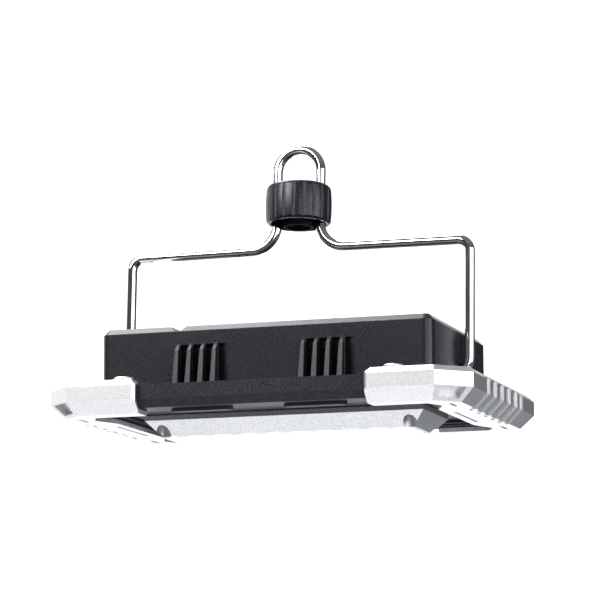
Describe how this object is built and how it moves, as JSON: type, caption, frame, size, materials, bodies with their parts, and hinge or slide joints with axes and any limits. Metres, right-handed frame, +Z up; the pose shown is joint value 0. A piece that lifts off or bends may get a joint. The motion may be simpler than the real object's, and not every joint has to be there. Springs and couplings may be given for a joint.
{
  "type": "hanging LED grow light",
  "caption": "Hanging LED grow light: black vented housing with silver end guards, a tapered light bar below, and a chrome wire bail with a fluted black collar and a hanging loop.",
  "frame": {"origin": "inner top of the hanging loop, where a hook bears", "axes": "+Z up, +X along the lamp's long side, -Y towards the long side that faces the viewer; light leaves towards -Z"},
  "size_m": [0.27, 0.1904, 0.189],
  "materials": {
    "guard_silver": "silver paint with a fine sand texture",
    "bar_silver": "silver paint with a fine sand texture",
    "frame_black": "satin black moulded plastic",
    "housing_black": "satin black moulded plastic",
    "plate_black": "matt black sheet",
    "vent_mesh": "black woven screen",
    "pad_rubber": "soft black pads",
    "seal_rubber": "matt black gasket",
    "lens_clear": "frosted diffuser",
    "reflector_white": "white reflector",
    "led_phosphor": "yellow phosphor",
    "circuit_board": "white solder mask",
    "sink_aluminium": "extruded aluminium",
    "driver_shell": "folded sheet",
    "transformer_yellow": "taped winding",
    "capacitor_sleeve": "shrink sleeve",
    "ferrite_grey": "ferrite core",
    "component_black": "moulded package",
    "lead_jacket": "silicone jacket",
    "gland_black": "moulded nylon",
    "bush_plastic": "moulded nylon",
    "bail_wire": "polished plated wire",
    "collar_plastic": "semi-gloss black plastic",
    "core_black": "matt black moulding",
    "zinc_screws": "bright zinc plate",
    "black_screws": "black oxide"
  },
  "bodies": {
    "bail": {"bail": "bail_wire", "collar": "collar_plastic", "collar_core": "core_black", "collar_screw": "zinc_screws", "pivot_washers": "zinc_screws", "pivot_clips": "zinc_screws"},
    "lamp": {"driver_board": "circuit_board", "driver_capacitors": "capacitor_sleeve", "driver_case": "driver_shell", "driver_choke": "ferrite_grey", "driver_lid": "driver_shell", "driver_screws": "zinc_screws", "driver_transformer": "transformer_yellow", "driver_transistors": "component_black", "face_pads": "pad_rubber", "face_plate": "plate_black", "frame": "frame_black", "gland_body": "gland_black", "gland_cap": "gland_black", "gland_nut": "gland_black", "guard_left": "guard_silver", "guard_right": "guard_silver", "guard_screws": "zinc_screws", "heat_sink": "sink_aluminium", "heat_sink_screws": "zinc_screws", "housing_screws": "black_screws", "led_board": "circuit_board", "led_packages": "led_phosphor", "lens": "lens_clear", "light_bar": "bar_silver", "light_bar_screws": "zinc_screws", "light_lead": "lead_jacket", "pivot_bush_left": "bush_plastic", "pivot_bush_right": "bush_plastic", "plate_seal": "seal_rubber", "rear_housing": "housing_black", "reflector": "reflector_white", "vent_screens": "vent_mesh"}
  },
  "joints": [
    {"name": "lamp_tilt", "type": "hinge", "parent": "bail", "child": "lamp", "pos_m": [0, -0.00868, -0.14614], "axis": [1, 0, 0], "range_deg": [-93.4, 86.6]}
  ]
}
